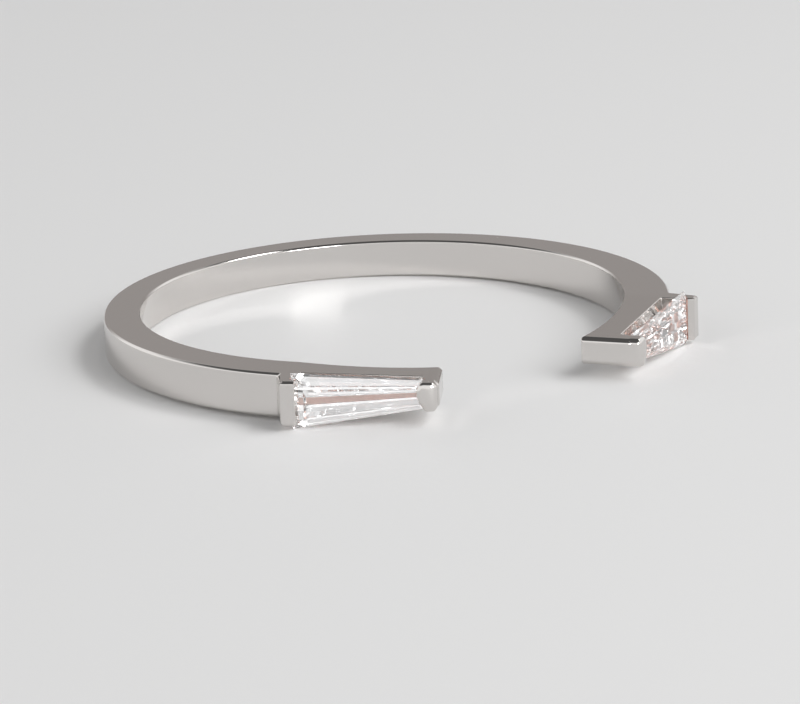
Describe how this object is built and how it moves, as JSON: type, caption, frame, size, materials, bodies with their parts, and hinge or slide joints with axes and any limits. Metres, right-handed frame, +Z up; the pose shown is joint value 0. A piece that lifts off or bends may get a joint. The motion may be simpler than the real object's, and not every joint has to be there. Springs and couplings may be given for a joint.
{
  "type": "open cuff ring with tapered baguette stones",
  "caption": "Slim open cuff ring of polished white gold, with a tapered baguette stone set lengthwise at each end of the band, between a tall bar and a folded prong.",
  "frame": {"origin": "centre of the finger hole, on the band's middle plane", "axes": "+Z along the finger, -Y from the centre to the middle of the gap, +X to the right of the gap seen from outside with +Z up"},
  "size_m": [0.0192, 0.0187, 0.0018],
  "materials": {
    "white_gold": "polished, rhodium plated",
    "diamond": "step cut and polished"
  },
  "bodies": {
    "root": {"band": "white_gold", "left_stone": "diamond", "right_stone": "diamond"}
  },
  "joints": []
}
